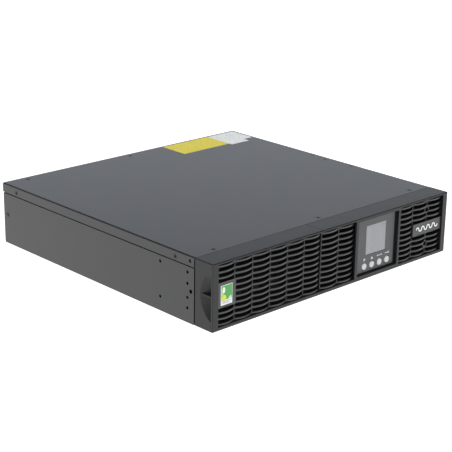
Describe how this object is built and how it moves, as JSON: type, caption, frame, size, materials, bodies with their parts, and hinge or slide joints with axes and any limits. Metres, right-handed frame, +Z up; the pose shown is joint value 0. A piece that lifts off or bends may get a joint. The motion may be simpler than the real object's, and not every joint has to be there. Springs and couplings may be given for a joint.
{
  "type": "uninterruptible power supply",
  "caption": "Rack or tower uninterruptible power supply with a louvred bezel, pull-out battery tray, square display module and rear outlets.",
  "frame": {"origin": "centre of the footprint of the whole object at its underside", "axes": "+X right seen from the front, the front faces -Y, +Z up"},
  "size_m": [0.438, 0.435, 0.0866],
  "materials": {
    "powder_coat": "fine-textured satin black powder coat",
    "zinc_steel": "galvanised sheet, satin",
    "bezel_plastic": "fine spark-eroded grain, satin",
    "grille_plastic": "fine grain, satin",
    "display_plastic": "fine grain, satin",
    "display_lens": "clear, polished",
    "lcd_glass": "unlit grey-green liquid-crystal panel",
    "button_plastic": "pale grey, satin",
    "badge_print": "printed vinyl",
    "label_print": "printed vinyl",
    "mark_silver": "silver foil",
    "black_screw": "black oxide",
    "nickel": "bright nickel plate",
    "battery_case": "moulded ABS",
    "lead_insulation": "satin insulation",
    "black_nylon": "moulded nylon, satin",
    "fan_plastic": "moulded, satin",
    "circuit_board": "green solder mask",
    "aluminium": "extruded, satin",
    "component_plastic": "moulded epoxy",
    "capacitor_sleeve": "shrink sleeve",
    "ferrite": "sintered, matt"
  },
  "bodies": {
    "chassis": {"chassis_base": "powder_coat", "front_plate": "powder_coat", "rear_panel": "powder_coat", "top_cover": "powder_coat", "top_labels": "label_print", "bay_divider": "zinc_steel", "case_screws": "black_screw", "ear_nuts": "nickel", "front_bezel": "bezel_plastic", "middle_grille": "grille_plastic", "right_grille": "grille_plastic", "wave_mark": "mark_silver", "bezel_screws": "black_screw", "battery_socket": "black_nylon", "power_inlet": "black_nylon", "outlet_bank_upper": "black_nylon", "outlet_bank_lower": "black_nylon", "circuit_breaker": "black_nylon", "serial_port": "nickel", "usb_port": "nickel", "network_ports": "black_nylon", "slot_cover": "powder_coat", "rear_screws": "nickel", "fan_guard": "nickel", "fan_frame": "fan_plastic", "power_board": "circuit_board", "board_standoffs": "nickel", "inverter_heatsink": "aluminium", "charger_heatsink": "aluminium", "power_transistors": "component_plastic", "bulk_capacitors": "capacitor_sleeve", "filter_inductors": "ferrite", "transformer": "ferrite", "control_board": "circuit_board", "port_board": "circuit_board", "internal_leads": "lead_insulation"},
    "battery_tray": {"battery_tray": "powder_coat", "tray_handle": "nickel", "battery_1": "battery_case", "battery_2": "battery_case", "battery_3": "battery_case", "battery_leads": "lead_insulation", "battery_plug": "black_nylon"},
    "battery_cover": {"battery_cover": "bezel_plastic", "cover_grille": "grille_plastic", "badge": "badge_print"},
    "tray_screw_left": {"tray_screw_left": "nickel"},
    "tray_screw_right": {"tray_screw_right": "nickel"},
    "display_module": {"display_housing": "display_plastic", "display_window": "display_lens", "display_panel": "lcd_glass", "display_board": "circuit_board", "display_switches": "component_plastic", "display_ribbon": "lead_insulation"},
    "button_1": {"button_1": "button_plastic"},
    "button_2": {"button_2": "button_plastic"},
    "button_3": {"button_3": "button_plastic"},
    "button_4": {"button_4": "button_plastic"},
    "fan_rotor": {"fan_rotor": "fan_plastic"},
    "breaker_button": {"breaker_button": "component_plastic"}
  },
  "joints": [
    {"name": "tray_slide", "type": "slide", "parent": "chassis", "child": "battery_tray", "axis": [0, -1, 0], "range_m": [0, 0.33]},
    {"name": "cover_pull", "type": "slide", "parent": "battery_tray", "child": "battery_cover", "axis": [0, -1, 0], "range_m": [0, 0.04]},
    {"name": "display_pull", "type": "slide", "parent": "chassis", "child": "display_module", "axis": [0, -1, 0], "range_m": [0, 0.022]},
    {"name": "fan_spin", "type": "hinge", "parent": "chassis", "child": "fan_rotor", "pos_m": [0.168, 0.1978, 0.0427], "axis": [0, 1, 0], "continuous": true},
    {"name": "breaker_reset", "type": "slide", "parent": "chassis", "child": "breaker_button", "axis": [0, 1, 0], "range_m": [0, 0.003]},
    {"name": "tray_screw_left_turn", "type": "hinge", "parent": "battery_tray", "child": "tray_screw_left", "pos_m": [-0.211, -0.1875, 0.04], "axis": [0, 1, 0], "continuous": true},
    {"name": "tray_screw_right_turn", "type": "hinge", "parent": "battery_tray", "child": "tray_screw_right", "pos_m": [-0.046, -0.1875, 0.04], "axis": [0, 1, 0], "continuous": true},
    {"name": "button_1_press", "type": "slide", "parent": "display_module", "child": "button_1", "axis": [0, 1, 0], "range_m": [0, 0.0006], "stiffness_N_per_m": 600, "springref_m": -0.0003},
    {"name": "button_2_press", "type": "slide", "parent": "display_module", "child": "button_2", "axis": [0, 1, 0], "range_m": [0, 0.0006], "stiffness_N_per_m": 600, "springref_m": -0.0003},
    {"name": "button_3_press", "type": "slide", "parent": "display_module", "child": "button_3", "axis": [0, 1, 0], "range_m": [0, 0.0006], "stiffness_N_per_m": 600, "springref_m": -0.0003},
    {"name": "button_4_press", "type": "slide", "parent": "display_module", "child": "button_4", "axis": [0, 1, 0], "range_m": [0, 0.0006], "stiffness_N_per_m": 600, "springref_m": -0.0003}
  ]
}
